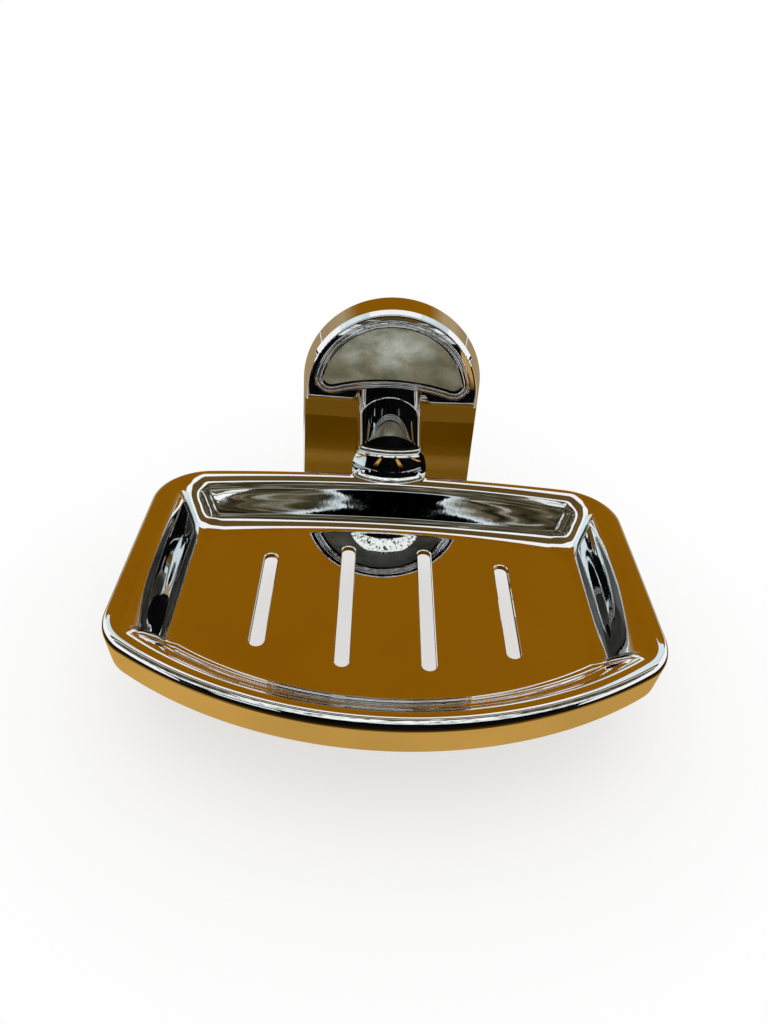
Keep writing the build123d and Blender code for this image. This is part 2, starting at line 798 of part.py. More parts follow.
pieces = {
    "wall_plate": wall_plate,
    "wall_screws": wall_screws,
    "wall_plugs": wall_plugs,
    "bracket_cover": bracket_cover,
    "half_moon_bezel": half_moon_bezel,
    "pearl_insert": pearl_insert,
    "insert_adhesive_pad": insert_adhesive_pad,
    "grub_screw": grub_screw,
    "arm": arm,
    "tie_bolt": tie_bolt,
    "tie_bolt_washer": tie_bolt_washer,
    "tie_bolt_spring_washer": tie_bolt_spring_washer,
    "locating_dowels": locating_dowels,
    "tray_knuckle": tray_knuckle,
    "soap_tray": soap_tray,
    "tray_screws": tray_screws,
    "tray_screw_washers": tray_screw_washers,
}

os.makedirs("parts", exist_ok=True)
for name, make in pieces.items():
    export_step(make(), os.path.join("parts", name + ".step"))
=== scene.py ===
import bmesh
import bpy
import json
from math import acos, atan2, cos, pi, radians, sin, sqrt
from mathutils import Matrix, Vector


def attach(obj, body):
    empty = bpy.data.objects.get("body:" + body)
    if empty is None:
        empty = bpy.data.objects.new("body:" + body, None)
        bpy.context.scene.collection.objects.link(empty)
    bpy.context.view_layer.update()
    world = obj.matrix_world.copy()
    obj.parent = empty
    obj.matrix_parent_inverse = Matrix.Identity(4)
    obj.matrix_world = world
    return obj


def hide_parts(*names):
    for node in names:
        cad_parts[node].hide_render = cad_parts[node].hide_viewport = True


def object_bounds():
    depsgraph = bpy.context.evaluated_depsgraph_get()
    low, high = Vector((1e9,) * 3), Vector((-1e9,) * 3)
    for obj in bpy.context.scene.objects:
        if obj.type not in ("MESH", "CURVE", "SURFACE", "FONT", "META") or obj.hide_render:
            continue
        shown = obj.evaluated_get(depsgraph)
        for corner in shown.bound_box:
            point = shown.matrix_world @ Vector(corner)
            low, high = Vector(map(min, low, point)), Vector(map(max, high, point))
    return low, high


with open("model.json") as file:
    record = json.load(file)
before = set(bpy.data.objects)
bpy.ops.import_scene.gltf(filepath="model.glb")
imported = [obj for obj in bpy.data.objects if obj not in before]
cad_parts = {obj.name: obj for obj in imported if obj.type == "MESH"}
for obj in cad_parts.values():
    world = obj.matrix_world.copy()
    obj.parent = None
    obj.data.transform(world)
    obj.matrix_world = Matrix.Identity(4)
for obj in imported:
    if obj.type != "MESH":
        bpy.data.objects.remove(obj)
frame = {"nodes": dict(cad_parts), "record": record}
cad_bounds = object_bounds()

# A wall soap dish of mirror chrome with a pearl-grey inlay, in a dark and amber studio.
# Metres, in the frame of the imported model: X to the right, Y into the wall, Z up.

# Camera: its place in metres, its angles in degrees, its lens and sensor in millimetres
camera_place = (-0.00877, -0.2755, 0.14775)
camera_pitch = 34.21
camera_yaw = 1.94
camera_roll = 4.17
camera_lens = 31.89
sensor_width = 36.0

# Tray: rear and front are distances from the wall; heights are above the arm's axis
mm = 0.001
tray_rear = 34.1 * mm
tray_length = 103.6 * mm
rim_top = -2.0 * mm
rim_underside = -3.8 * mm
floor_top = -11.0 * mm
floor_underside = -12.5 * mm
basin_wall = 1.6 * mm
skirt_foot = -12.5 * mm
skirt_thickness = 1.8 * mm
skirt_inset = 1.3 * mm
foot_round = 0.3 * mm
crown_drop = 2.3 * mm
crest_rear_width = 0.9 * mm
crest_side_width = 1.3 * mm
crest_front_width = 2.4 * mm
rim_rear_width = 1.3 * mm
rim_side_width = 5.4 * mm
rim_front_width = 3.6 * mm
rim_outer = {
    "rear": tray_rear,
    "front": tray_rear + tray_length,
    "rear_half": 69.3 * mm,
    "front_half": 70.479 * mm,
    "rear_arc": 505 * mm,
    "front_arc": 109.5 * mm,
    "side_bow": 0.05 * mm,
    "rear_radius": 17 * mm,
    "front_radius": 14.5 * mm,
}
rim_inner_shape = {
    "rear_arc": 480 * mm,
    "front_arc": 105.6 * mm,
    "side_bow": 0.4 * mm,
    "rear_radius": 8 * mm,
    "front_radius": 4.5 * mm,
}
basin_floor = {
    "rear": tray_rear + 19.7 * mm,
    "front": tray_rear + tray_length - 17.0 * mm,
    "rear_half": 52.6 * mm,
    "front_half": 52.2 * mm,
    "rear_arc": 202 * mm,
    "front_arc": 93.5 * mm,
    "side_bow": 1.2 * mm,
    "rear_radius": 8 * mm,
    "front_radius": 3 * mm,
}
floor_insets = (2.0 * mm, 1.0 * mm, 0.4 * mm)
# Basin wall, from the floor's edge to the rim: (share of the way, share of the height)
wall_profile_shares = (
    (0.0, 0.0), (0.076, 0.018), (0.177, 0.079), (0.267, 0.157), (0.342, 0.240), (0.518, 0.49),
    (0.695, 0.739), (0.804, 0.861), (0.882, 0.928), (0.955, 0.978), (1.0, 1.0),
)
# Crown of the rim, from its outer edge to its crest, in the same way
crown_profile_shares = (
    (0.0, 0.0), (0.015, 0.2), (0.085, 0.46), (0.2, 0.67), (0.41, 0.835), (0.67, 0.95), (1.0, 1.0),
)
slot_width = 3.8 * mm
slot_spacing = 22.0 * mm
slot_chamfer = 0.2 * mm
inner_slot_start = 26.9 * mm
inner_slot_length = 50.1 * mm
outer_slot_start = 32.2 * mm
outer_slot_length = 38.9 * mm
boss_places = (-8.5 * mm, 8.5 * mm)
boss_radius = 2.6 * mm
boss_setback = 6.9 * mm
boss_foot = -9.9 * mm
boss_top = -6.6 * mm
knuckle_radius = 11.5 * mm
knuckle_start = 32.6 * mm
dome_start = 33.8 * mm
dome_bulge = 2.1 * mm
block_end = 37.7 * mm
collar_radius = 2.3 * mm
nest_gap = 0.03 * mm
foot_slot_half = 6.15 * mm
foot_slot_top = -9.75 * mm
foot_slot_end = 39.0 * mm
overrun = 1.0 * mm

# Fineness of the tray's surface, and the angle in degrees over which an edge stays sharp
rear_points = 240
rear_crowding = 0.55
side_points = 110
front_points = 220
corner_points = 36
basin_rings = 60
crown_rings = 18
skirt_rings = 8
slot_end_points = 24
round_points = 96
dome_steps = 16
sharp_angle = 32

# Floor and world
floor_gap = 0.004
floor_size = 6.0
floor_albedo = 0.4
world_strength = 1.0

# Studio: bands of light and dark on cylinders round the dish. A band is two angles seen from the
# dish: 0 is the horizon behind the wall, 90 straight above, 180 the horizon behind the camera.
# A reach is how far the band goes sideways, along X.
dish_centre = Vector((0.0, -0.085, -0.008))
card_radius = 1.2
front_card_radius = 1.15
card_steps = 24
backdrop_edge = (
    (-40, 1.15), (10, 1.15), (36, 1.1), (44, 0.95), (50, 0.75), (56, 0.4), (60.5, 0.14),
)
# The backdrop turns from amber to tan outwards along X, and from tan to amber upwards along Z
tan_sideways = (0.3, 0.6)
tan_upwards = (0.42, 0.6)
ceiling_reach = (-1.6, 1.6)
brown_band = (65.5, 76)
dusk_band = (79, 104)
bright_band = (104, 128)
dark_front_band = (128, 183)
dark_front_reach = (-1.6, 1.6)
horizon_band = (3, 12)
horizon_reach = (-0.45, 0.45)
dark_corner_band = (-40, 2)
dark_corner_reach = (1.15, 2.4)
side_light_band = (42, 60)
side_light_reach = (0.45, 1.15)
window_band = (142, 162)
window_reach = (-1.02, -0.52)
streaks = (((92, 97), (-0.08, -0.066)), ((80, 88), (0.17, 0.2)))
light_bar_height = 0.3
light_bar_half_width = 0.16
light_bar_near = -0.26
light_bar_far = -0.137
table_half_width = 1.2
table_near = -1.35
table_far = 0.9

# The black shape in the dusky ceiling, wider towards the wall. shape_edge is the value that its
# edge has in its ramps, and the ceiling takes over from its light rim within shape_fade.
shape_centre = (0.041, -0.26)
shape_half = (0.036, 0.12)
shape_power = 3
shape_taper = 0.5
shape_edge = 0.2
shape_fade = (0.22, 0.42)

# The tray's painted shade on the card below it. Y plus table_shift tells how far behind a point
# lies.
tray_shade_centre = (0.0, -0.078)
tray_shade_half = (0.05, 0.032)
table_shift = 0.1
table_behind_fade = (0.045, 0.065)
table_cloud = (0.85, 1.1)

# Colours of the studio's cards: each is a list of (place in a soft pattern, colour)
soft_scale = 1.5
soft_detail = 3.0
amber = [(0.3, (0.24, 0.091, 0.001)), (0.7, (0.275, 0.108, 0.003))]
tan = [(0.3, (0.3, 0.22, 0.11)), (0.7, (0.5, 0.37, 0.2))]
brown = [(0.3, (0.10, 0.06, 0.015)), (0.7, (0.16, 0.10, 0.03))]
dusk = [
    (0.34, (0.008, 0.007, 0.003)),
    (0.5, (0.07, 0.056, 0.028)),
    (0.6, (0.13, 0.115, 0.075)),
    (0.7, (0.4, 0.41, 0.36)),
]
black = [(0.3, (0.001, 0.001, 0.001)), (0.7, (0.004, 0.004, 0.005))]
bright = [(0.38, (0.1, 0.085, 0.05)), (0.44, (0.85, 0.9, 0.88)), (0.7, (1.1, 1.15, 1.12))]
beaded = [(0.34, (0.06, 0.05, 0.03)), (0.44, (0.95, 1.0, 0.96)), (0.7, (1.1, 1.15, 1.12))]
sky_blue = [(0.3, (0.5, 0.63, 0.68)), (0.7, (0.85, 0.97, 1.0))]

# The black shape's light rim
no_light = (0, 0, 0)
rim_light = (0.75, 0.85, 0.88)
shape_rim = [(0.17, no_light), (0.2, rim_light), (0.24, rim_light), (0.5, no_light)]

# The card below the dish, with painted light and shade: around the tray's painted shade by the
# distance from it, lit close round it, and behind it, where a painted glint runs across
table_shade = (0.1, 0.042, 0.0)
table_lit = (0.6, 0.34, 0.075)
table_edge = (0.09, 0.04, 0.003)
table_dark = (0.006, 0.005, 0.003)
table_behind = (0.17, 0.08, 0.006)
table_glint = (0.8, 0.85, 0.8)
table_tan = (0.36, 0.26, 0.13)
table_around = [
    (0.0, table_shade),
    (0.012, table_lit),
    (0.045, table_lit),
    (0.056, table_edge),
    (0.08, table_dark),
]
table_backwards = [
    (0.1, table_behind),
    (0.105, table_glint),
    (0.14, table_glint),
    (0.155, table_tan),
]

# Finishes. The plain ones give their colours, the two ends of their roughness and the depth and
# strength of their bump, each with the scale and detail of its pattern.
chrome_tint = [(0.35, (0.86, 0.865, 0.875)), (0.65, (0.9, 0.9, 0.905))]
plain_finishes = {
    "zinc_plated_steel": {
        "metallic": 1.0,
        "tint": [(0.3, (0.5, 0.52, 0.56)), (0.7, (0.68, 0.69, 0.7))],
        "tint_pattern": (400, 5),
        "roughness": (0.28, 0.48),
        "roughness_pattern": (1500, 4),
        "bump": (0.00002, 0.3),
        "bump_pattern": (2500, 3),
    },
    "plug_plastic": {
        "metallic": 0.0,
        "tint": [(0.3, (0.38, 0.39, 0.4)), (0.7, (0.5, 0.51, 0.52))],
        "tint_pattern": (900, 4),
        "roughness": (0.5, 0.7),
        "roughness_pattern": (2000, 3),
        "bump": (0.00003, 0.4),
        "bump_pattern": (3000, 3),
    },
    "adhesive_pad": {
        "metallic": 0.0,
        "tint": [(0.3, (0.75, 0.74, 0.7)), (0.7, (0.88, 0.88, 0.85))],
        "tint_pattern": (3000, 4),
        "roughness": (0.75, 0.95),
        "roughness_pattern": (1500, 3),
        "bump": (0.00005, 0.6),
        "bump_pattern": (4000, 4),
    },
}
pearl_dark = (0.185, 0.165, 0.095)
pearl_middle = (0.31, 0.295, 0.195)
pearl_light = (0.46, 0.46, 0.345)
# Painted highlight: the palest colour, the last ramp and the place below lay it above the insert's
# middle
pearl_highlight_colour = (0.95, 1.0, 0.9)
pearl_shade = [(0.3, pearl_dark), (0.5, pearl_middle), (0.7, pearl_light)]
pearl_highlight = [(0.3, pearl_middle), (0.62, pearl_highlight_colour)]
pearl_highlight_place = (0.4, 0.05, 0.68)

# Colour sockets of a Mix node, which share their names with its other sockets
mix_low = 6
mix_high = 7
mix_result = 2


def hidden_from_all_but_mirrors(card):
    """A studio card doesn't light the dish by diffuse light: it is only seen in reflections."""
    card.visible_camera = False
    card.visible_diffuse = False
    card.visible_shadow = False


def link(thing):
    """Puts an object in the scene."""
    bpy.context.scene.collection.objects.link(thing)
    return thing


def make_camera():
    """The camera, turned from its yaw and pitch, and then rolled."""
    pitch, yaw, roll = radians(camera_pitch), radians(camera_yaw), radians(camera_roll)
    forward = Vector((sin(yaw) * cos(pitch), cos(yaw) * cos(pitch), -sin(pitch)))
    level = Vector((cos(yaw), -sin(yaw), 0))
    above = level.cross(forward)
    right = level * cos(roll) + above * sin(roll)
    up = above * cos(roll) - level * sin(roll)
    data = bpy.data.cameras.new("camera")
    data.lens = camera_lens
    data.sensor_width = sensor_width
    data.sensor_fit = "AUTO"
    camera = link(bpy.data.objects.new("camera", data))
    place = Matrix((right, up, -forward)).transposed().to_4x4()
    place.translation = Vector(camera_place)
    camera.matrix_world = place
    bpy.context.scene.camera = camera


# Materials

def new_material(name):
    """A material with its node tree and its shader."""
    material = bpy.data.materials.new(name)
    material.use_nodes = True
    return material, material.node_tree, material.node_tree.nodes["Principled BSDF"]


def add(tree, kind, **values):
    """A node with its inputs set by name."""
    node = tree.nodes.new(kind)
    for name, value in values.items():
        node.inputs[name.replace("_", " ")].default_value = value
    return node


def object_place(tree, stretch=(1, 1, 1)):
    """The point's own place on the piece, in metres, stretched along an axis for grain."""
    place = tree.nodes.new("ShaderNodeTexCoord")
    mapping = tree.nodes.new("ShaderNodeMapping")
    mapping.inputs["Scale"].default_value = stretch
    tree.links.new(place.outputs["Object"], mapping.inputs["Vector"])
    return mapping.outputs["Vector"]


def noise(tree, scale, detail, stretch=(1, 1, 1), distortion=0.0):
    """A soft pattern over the piece, between 0 and 1."""
    node = add(tree, "ShaderNodeTexNoise", Scale=scale, Detail=detail, Distortion=distortion)
    tree.links.new(object_place(tree, stretch), node.inputs["Vector"])
    return node.outputs["Fac"]


def ramp(tree, source, stops):
    """A colour ramp; stops are (position, colour)."""
    node = tree.nodes.new("ShaderNodeValToRGB")
    elements = node.color_ramp.elements
    while len(elements) > 1:
        elements.remove(elements[-1])
    elements[0].position, elements[0].color = stops[0][0], (*stops[0][1], 1)
    for position, colour in stops[1:]:
        elements.new(position).color = (*colour, 1)
    tree.links.new(source, node.inputs["Fac"])
    return node.outputs["Color"]


def grey_ramp(tree, source, low, high, start=0.0, end=1.0):
    """Grey that goes from low to high while the source goes from start to end."""
    return ramp(tree, source, [(start, (low, low, low)), (end, (high, high, high))])


def blend(tree, factor, low, high):
    """One colour fading into another by a factor."""
    node = tree.nodes.new("ShaderNodeMix")
    node.data_type = "RGBA"
    tree.links.new(factor, node.inputs["Factor"])
    tree.links.new(low, node.inputs[mix_low])
    tree.links.new(high, node.inputs[mix_high])
    return node.outputs[mix_result]


def multiply(tree, first, second):
    """Two colours multiplied."""
    node = tree.nodes.new("ShaderNodeVectorMath")
    node.operation = "MULTIPLY"
    tree.links.new(first, node.inputs[0])
    tree.links.new(second, node.inputs[1])
    return node.outputs[0]


def math(tree, operation, value, number=0.0, clamp=False):
    """One step of arithmetic with a fixed number, or between two sockets."""
    node = tree.nodes.new("ShaderNodeMath")
    node.operation = operation
    node.use_clamp = clamp
    tree.links.new(value, node.inputs[0])
    if isinstance(number, (int, float)):
        node.inputs[1].default_value = number
    else:
        tree.links.new(number, node.inputs[1])
    return node.outputs[0]


def parts_of_place(tree):
    """X, Y and Z of the point's own place, in metres."""
    node = tree.nodes.new("ShaderNodeSeparateXYZ")
    tree.links.new(object_place(tree), node.inputs[0])
    return node.outputs[0], node.outputs[1], node.outputs[2]


def bump(tree, height, distance, strength, normal=None):
    """A normal bent by a pattern of heights, as deep as the distance, on top of another one."""
    node = add(tree, "ShaderNodeBump", Distance=distance, Strength=strength)
    tree.links.new(height, node.inputs["Height"])
    if normal is not None:
        tree.links.new(normal, node.inputs["Normal"])
    return node.outputs["Normal"]


def chrome():
    """Mirror chrome on a cast body, with faint waves, fine ripples and polishing lines."""
    material, tree, shader = new_material("polished_chrome")
    shader.inputs["Metallic"].default_value = 1.0
    tint = ramp(tree, noise(tree, scale=60, detail=3), chrome_tint)
    tree.links.new(tint, shader.inputs["Base Color"])
    cloud = noise(tree, scale=220, detail=6, distortion=0.4)
    haze = grey_ramp(tree, cloud, low=0.012, high=0.05, start=0.45, end=0.8)
    tree.links.new(haze, shader.inputs["Roughness"])
    waves = bump(tree, noise(tree, scale=70, detail=1), distance=0.00002, strength=0.35)
    rippled = noise(tree, scale=620, detail=1)
    ripples = bump(tree, rippled, distance=0.0000015, strength=0.8, normal=waves)
    brushed = noise(tree, scale=900, detail=3, stretch=(1, 0.04, 1))
    lines = bump(tree, brushed, distance=0.000002, strength=0.25, normal=ripples)
    tree.links.new(lines, shader.inputs["Normal"])
    return material


def pearl():
    """Pearl-grey resin: cloudy, with a painted highlight above its middle, glinting, and painted
    shade where it is seen edge-on.
    """
    material, tree, shader = new_material("pearl_resin")
    clouds = noise(tree, scale=150, detail=6, stretch=(0.7, 1, 1), distortion=0.5)
    # Painted highlight, fading out from its place above the middle into the clouded tint
    place = tree.nodes.new("ShaderNodeTexCoord")
    middle = tree.nodes.new("ShaderNodeVectorMath")
    middle.operation = "DISTANCE"
    middle.inputs[1].default_value = pearl_highlight_place
    tree.links.new(place.outputs["Generated"], middle.inputs[0])
    fade = grey_ramp(tree, middle.outputs["Value"], low=1.0, high=0.0, start=0.05, end=0.45)
    tint = blend(tree, fade, ramp(tree, clouds, pearl_shade), ramp(tree, clouds, pearl_highlight))
    fine = noise(tree, scale=1400, detail=2, stretch=(1, 1, 0.5))
    glints = grey_ramp(tree, fine, low=0.94, high=1.08, start=0.45, end=0.7)
    # Painted shade: the colour darkens where the resin is seen edge-on
    facing = tree.nodes.new("ShaderNodeLayerWeight")
    edge_on_painted_shade = grey_ramp(tree, facing.outputs["Facing"], low=1.0, high=0.12, start=0.1, end=0.22)
    tint = multiply(tree, multiply(tree, tint, glints), edge_on_painted_shade)
    tree.links.new(tint, shader.inputs["Base Color"])
    shader.inputs["Coat Weight"].default_value = 1.0
    shader.inputs["Coat Roughness"].default_value = 0.04
    shader.inputs["Metallic"].default_value = 0.25
    satin = grey_ramp(tree, noise(tree, scale=300, detail=3), low=0.25, high=0.4)
    tree.links.new(satin, shader.inputs["Roughness"])
    tree.links.new(bump(tree, clouds, distance=0.00005, strength=0.2), shader.inputs["Normal"])
    return material


def plain_finish(name, values):
    """A mottled finish with a satin and a grain of its own."""
    material, tree, shader = new_material(name)
    shader.inputs["Metallic"].default_value = values["metallic"]
    tint = ramp(tree, noise(tree, *values["tint_pattern"]), values["tint"])
    tree.links.new(tint, shader.inputs["Base Color"])
    satin = grey_ramp(tree, noise(tree, *values["roughness_pattern"]), *values["roughness"])
    tree.links.new(satin, shader.inputs["Roughness"])
    grain = bump(tree, noise(tree, *values["bump_pattern"]), *values["bump"])
    tree.links.new(grain, shader.inputs["Normal"])
    return material


def dress_nodes():
    """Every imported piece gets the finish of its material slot."""
    finishes = {name: plain_finish(name, values) for name, values in plain_finishes.items()}
    finishes["polished_chrome"] = chrome()
    finishes["pearl_resin"] = pearl()
    for part in frame["record"]["subparts"]:
        mesh = frame["nodes"][part["node"]].data
        mesh.materials.clear()
        mesh.materials.append(finishes[part["material_slot"]])
    return finishes


# Tray

def between(low, high, share):
    """An outline part of the way from one to another."""
    return {name: low[name] * (1 - share) + high[name] * share for name in low}


def moved_in(outline, rear=0.0, side=0.0, front=0.0):
    """The outline drawn in from its four sides, with its arcs to match."""
    return dict(
        outline,
        rear=outline["rear"] + rear,
        front=outline["front"] - front,
        rear_half=outline["rear_half"] - side,
        front_half=outline["front_half"] - side,
        rear_arc=outline["rear_arc"] - rear,
        front_arc=outline["front_arc"] - front,
        rear_radius=outline["rear_radius"] - side,
        front_radius=outline["front_radius"] - side,
    )


def all_round(outline, inset):
    """The outline drawn in by the same width on every side."""
    return moved_in(outline, inset, inset, inset)


def rise(radius, half):
    """How far an arc of this radius bulges over a chord of this half length."""
    return radius - sqrt(radius**2 - half**2)


def circle_through(a, b, c):
    """Centre and radius of the circle through three points."""
    ab, ac = b - a, c - a
    turn = 2 * (ab.x * ac.y - ab.y * ac.x)
    x = (ac.y * ab.length_squared - ab.y * ac.length_squared) / turn
    y = (ab.x * ac.length_squared - ac.x * ab.length_squared) / turn
    offset = Vector((x, y))
    return a + offset, offset.length


def corner_centre(first, second, radius, near):
    """Centre of a round of this radius inside two circles, at their crossing next to a point."""
    reach_a, reach_b = first[1] - radius, second[1] - radius
    span = second[0] - first[0]
    along = (span.length_squared + reach_a**2 - reach_b**2) / (2 * span.length)
    across = sqrt(max(reach_a**2 - along**2, 0))
    unit = span.normalized()
    foot = first[0] + unit * along
    side = Vector((-unit.y, unit.x)) * across
    return min((foot + side, foot - side), key=lambda place: (place - near).length)


def arc_points(centre, start, end, count, crowding=0.0):
    """Points clockwise from start up to just before end, crowded towards the arc's middle."""
    first = start - centre
    turn = first.angle_signed(end - centre)
    angle = atan2(first.y, first.x)
    points = []
    for step in range(count):
        place = 2 * step / count - 1
        share = ((1 - crowding) * place + crowding * place**3 + 1) / 2
        heading = angle - turn * share
        points.append(centre + first.length * Vector((cos(heading), sin(heading))))
    return points


def outline_points(outline):
    """Points clockwise round a four-sided outline with arched sides and round corners."""
    rear_y = -outline["rear"] - rise(outline["rear_arc"], outline["rear_half"])
    front_y = -outline["front"] + rise(outline["front_arc"], outline["front_half"])
    rear_left = Vector((-outline["rear_half"], rear_y))
    rear_right = Vector((outline["rear_half"], rear_y))
    front_right = Vector((outline["front_half"], front_y))
    front_left = Vector((-outline["front_half"], front_y))
    bulge = (outline["rear_half"] + outline["front_half"]) / 2 + outline["side_bow"]
    rear = (Vector((0, -outline["rear"] - outline["rear_arc"])), outline["rear_arc"])
    front = (Vector((0, -outline["front"] + outline["front_arc"])), outline["front_arc"])
    right = circle_through(rear_right, Vector((bulge, (rear_y + front_y) / 2)), front_right)
    left = (Vector((-right[0].x, right[0].y)), right[1])
    corners = (
        (left, rear, outline["rear_radius"], rear_left),
        (rear, right, outline["rear_radius"], rear_right),
        (right, front, outline["front_radius"], front_right),
        (front, left, outline["front_radius"], front_left),
    )
    sides = (
        (rear, rear_points, rear_crowding),
        (right, side_points, 0),
        (front, front_points, 0),
        (left, side_points, 0),
    )
    rounds = []
    for before, after, radius, near in corners:
        centre = corner_centre(before, after, radius, near)
        start = before[0] + (centre - before[0]).normalized() * before[1]
        end = after[0] + (centre - after[0]).normalized() * after[1]
        rounds.append((centre, start, end))
    points = []
    for index, (centre, start, end) in enumerate(rounds):
        points += arc_points(centre, start, end, corner_points)
        side, count, crowding = sides[index]
        following = rounds[(index + 1) % len(rounds)][1]
        points += arc_points(side[0], end, following, count, crowding)
    return points


def smooth_through(stops, place):
    """Height of a smooth curve through the stops; it starts flat."""
    slopes = [0.0]
    for before, after in zip(stops, stops[2:]):
        slopes.append((after[1] - before[1]) / (after[0] - before[0]))
    slopes.append((stops[-1][1] - stops[-2][1]) / (stops[-1][0] - stops[-2][0]))
    index = max(i for i in range(len(stops) - 1) if stops[i][0] <= place)
    (x0, y0), (x1, y1) = stops[index], stops[index + 1]
    run = x1 - x0
    t = (place - x0) / run
    start = (1 + 2 * t) * (1 - t) ** 2 * y0 + t * (1 - t) ** 2 * run * slopes[index]
    end = t**2 * (3 - 2 * t) * y1 + t**2 * (t - 1) * run * slopes[index + 1]
    return start + end


def dome_sphere():
    """Depth of the centre, and the radius, of the sphere that the knuckle's dome is part of."""
    radius = (knuckle_radius**2 + dome_bulge**2) / (2 * dome_bulge)
    return dome_start + dome_bulge - radius, radius


def collar_height(x, y):
    """How far the collar lifts the rim here, beside the dome."""
    centre_depth, radius = dome_sphere()
    gap = max(sqrt(x**2 + (y + centre_depth) ** 2) - radius, 0)
    if gap > collar_radius:
        return 0.0
    fade = min(max((knuckle_radius + collar_radius - abs(x)) / (2 * collar_radius), 0), 1)
    return fade * (collar_radius - sqrt(collar_radius**2 - (collar_radius - gap) ** 2))


def tray_rings():
    """Outlines and heights from the middle of the floor, over the rim and down to the underside."""
    rim_inner = moved_in(rim_outer, rim_rear_width, rim_side_width, rim_front_width)
    rim_inner.update(rim_inner_shape)
    crest = moved_in(rim_outer, crest_rear_width, crest_side_width, crest_front_width)
    rings = [(all_round(basin_floor, inset), floor_top) for inset in floor_insets]
    for step in range(basin_rings + 1):
        share = step / basin_rings
        height = floor_top + (rim_top - floor_top) * smooth_through(wall_profile_shares, share)
        rings.append((between(basin_floor, rim_inner, share), height))
    for step in range(crown_rings + 1):
        share = (1 - step / crown_rings) ** 2
        height = rim_top - crown_drop * (1 - smooth_through(crown_profile_shares, share))
        rings.append((between(rim_outer, crest, share), height))
    foot = all_round(rim_outer, skirt_inset)
    for step in range(1, skirt_rings + 1):
        share = step / skirt_rings
        height = (rim_top - crown_drop) * (1 - share) + (skirt_foot + foot_round) * share
        rings.append((between(rim_outer, foot, share), height))
    rings.append((all_round(foot, foot_round), skirt_foot))
    rings.append((all_round(foot, skirt_thickness), skirt_foot))
    rings.append((all_round(rim_outer, skirt_thickness), rim_underside))
    wall_foot = all_round(basin_floor, -basin_wall)
    wall_share = (rim_underside - floor_underside) / (rim_top - floor_underside)
    rings.append((between(wall_foot, rim_inner, wall_share), rim_underside))
    rings.append((wall_foot, floor_underside))
    return rings


def mesh_object(name, points, faces, material):
    """A linked object with a mesh of its own."""
    mesh = bpy.data.meshes.new(name)
    mesh.from_pydata(points, [], faces)
    if material is not None:
        mesh.materials.append(material)
    return link(bpy.data.objects.new(name, mesh))


def closed_stack(name, layers, material=None):
    """A closed mesh through layers of the same number of points, with flat ends."""
    count = len(layers[0])
    points = [point for layer in layers for point in layer]
    faces = [tuple(reversed(range(count))), tuple(range(len(points) - count, len(points)))]
    for row in range(len(layers) - 1):
        for column in range(count):
            low, following = row * count + column, row * count + (column + 1) % count
            faces.append((low, following, following + count, low + count))
    return mesh_object(name, points, faces, material)


def face_outwards(thing):
    """Turns every face of a closed mesh outwards."""
    work = bmesh.new()
    work.from_mesh(thing.data)
    bmesh.ops.recalc_face_normals(work, faces=work.faces)
    work.to_mesh(thing.data)
    work.free()


def cut(thing, cutters):
    """Takes the cutters out of a mesh, for good."""
    for cutter in cutters:
        face_outwards(cutter)
        modifier = thing.modifiers.new("cut", "BOOLEAN")
        modifier.operation = "DIFFERENCE"
        modifier.solver = "EXACT"
        modifier.object = cutter
    bpy.context.view_layer.update()
    result = thing.evaluated_get(bpy.context.evaluated_depsgraph_get())
    mesh = bpy.data.meshes.new_from_object(result)
    thing.modifiers.clear()
    thing.data = mesh
    for cutter in cutters:
        bpy.data.objects.remove(cutter)


def smooth_but_for_edges(thing):
    """Shades a mesh smooth, except across its sharp edges."""
    thing.data.shade_smooth()
    thing.data.set_sharp_from_angle(angle=radians(sharp_angle))


def circle(radius):
    """Points of a full turn, as pairs."""
    turns = [2 * pi * step / round_points for step in range(round_points)]
    return [(radius * cos(turn), radius * sin(turn)) for turn in turns]


def along_y(name, section, ends):
    """A closed mesh of one section between two places on the Y axis."""
    return closed_stack(name, [[Vector((x, y, z)) for x, z in section] for y in ends])


def slot_cutter(place, start, length):
    """A round-ended drain slot with a tiny chamfer at its upper edge."""
    layers = []
    heights = (floor_underside - overrun, floor_top - slot_chamfer, floor_top, floor_top + overrun)
    for height, spread in zip(heights, (0, 0, slot_chamfer, slot_chamfer + overrun)):
        radius = slot_width / 2 + spread
        layer = []
        for end, first in ((start + slot_width / 2, 0), (start + length - slot_width / 2, pi)):
            for step in range(slot_end_points + 1):
                angle = first + pi * step / slot_end_points
                y = -tray_rear - end + radius * sin(angle)
                layer.append(Vector((place + radius * cos(angle), y, height)))
        layers.append(layer)
    return closed_stack("slot_cutter", layers)


def knuckle_cutters():
    """The dome's and the foot's room in the tray's rear rim."""
    centre_depth, sphere = dome_sphere()
    profile = [(knuckle_start - overrun, knuckle_radius)]
    for step in range(dome_steps + 1):
        radius = knuckle_radius * (1 - step / dome_steps) + nest_gap * step / dome_steps
        profile.append((centre_depth + sqrt(sphere**2 - radius**2), radius))
    layers = []
    for depth, radius in profile:
        y = -depth - nest_gap
        layers.append([Vector((x, y, z)) for x, z in circle(radius + nest_gap)])
    dome = closed_stack("dome_cutter", layers)
    reach = knuckle_radius + nest_gap
    half_turn = acos(-rim_underside / reach)
    round_foot = []
    for step in range(round_points + 1):
        turn = -pi / 2 - half_turn + 2 * half_turn * step / round_points
        round_foot.append((reach * cos(turn), reach * sin(turn)))
    back = -knuckle_start + overrun
    block = along_y("block_cutter", round_foot, (back, -block_end - nest_gap))
    half, low, high = foot_slot_half, skirt_foot - overrun, foot_slot_top
    square_foot = [(-half, low), (half, low), (half, high), (-half, high)]
    foot = along_y("foot_cutter", square_foot, (back, -foot_slot_end))
    return [dome, block, foot]


